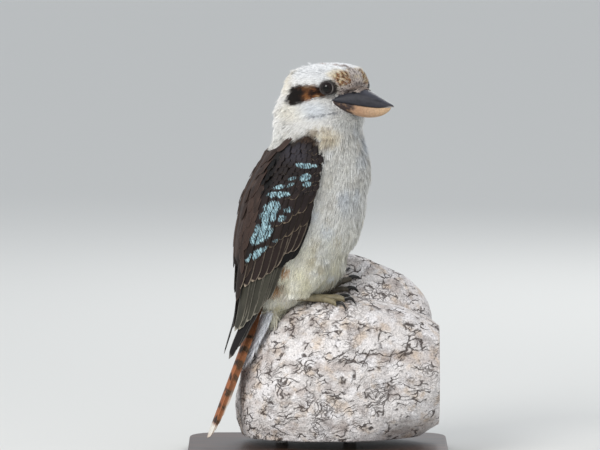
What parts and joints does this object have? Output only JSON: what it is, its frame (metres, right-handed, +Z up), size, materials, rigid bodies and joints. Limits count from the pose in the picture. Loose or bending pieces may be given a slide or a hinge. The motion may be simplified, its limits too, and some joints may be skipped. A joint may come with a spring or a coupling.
{
  "type": "laughing kookaburra on a sawn limb with a display stand",
  "caption": "Life-size still model of a perched kookaburra that looks over its shoulder, gripping a cut length of thick limb that a plain flat stand carries on short rods.",
  "frame": {"origin": "middle of the underside of the stand's base", "axes": "+Z up; the base's long side along X; the bird's bill and breast towards +X, its right side and its face towards -Y"},
  "size_m": [0.244, 0.176, 0.3721],
  "materials": {
    "white_feathers": "soft small white and cream feathers with faint dusky marks",
    "brown_feathers": "dark brown wing feathers, pale blue in the middle of the folded wing",
    "rufous_feathers": "reddish-brown tail feathers with black bars and white tips",
    "upper_bill_horn": "dark slate horn with a dull sheen",
    "lower_bill_horn": "flesh-coloured horn, dark near its root",
    "eye": "dark brown wet eye",
    "foot_skin": "olive-grey scaly skin with black claws",
    "bark": "pale grey bark with dark cracks and pits",
    "stand_wood": "dark satin wood",
    "stand_metal": "dark brushed steel"
  },
  "bodies": {
    "root": {"head": "white_feathers", "neck": "white_feathers", "torso": "white_feathers", "bill_upper": "upper_bill_horn", "bill_lower": "lower_bill_horn", "eye_left": "eye", "eye_right": "eye", "wing_left": "brown_feathers", "wing_right": "brown_feathers", "tail": "rufous_feathers", "undertail_coverts": "white_feathers", "leg_left": "white_feathers", "leg_right": "white_feathers", "foot_left": "foot_skin", "foot_right": "foot_skin", "perch": "bark", "stand_base": "stand_wood", "stand_rod_1": "stand_metal", "stand_rod_2": "stand_metal"}
  },
  "joints": []
}
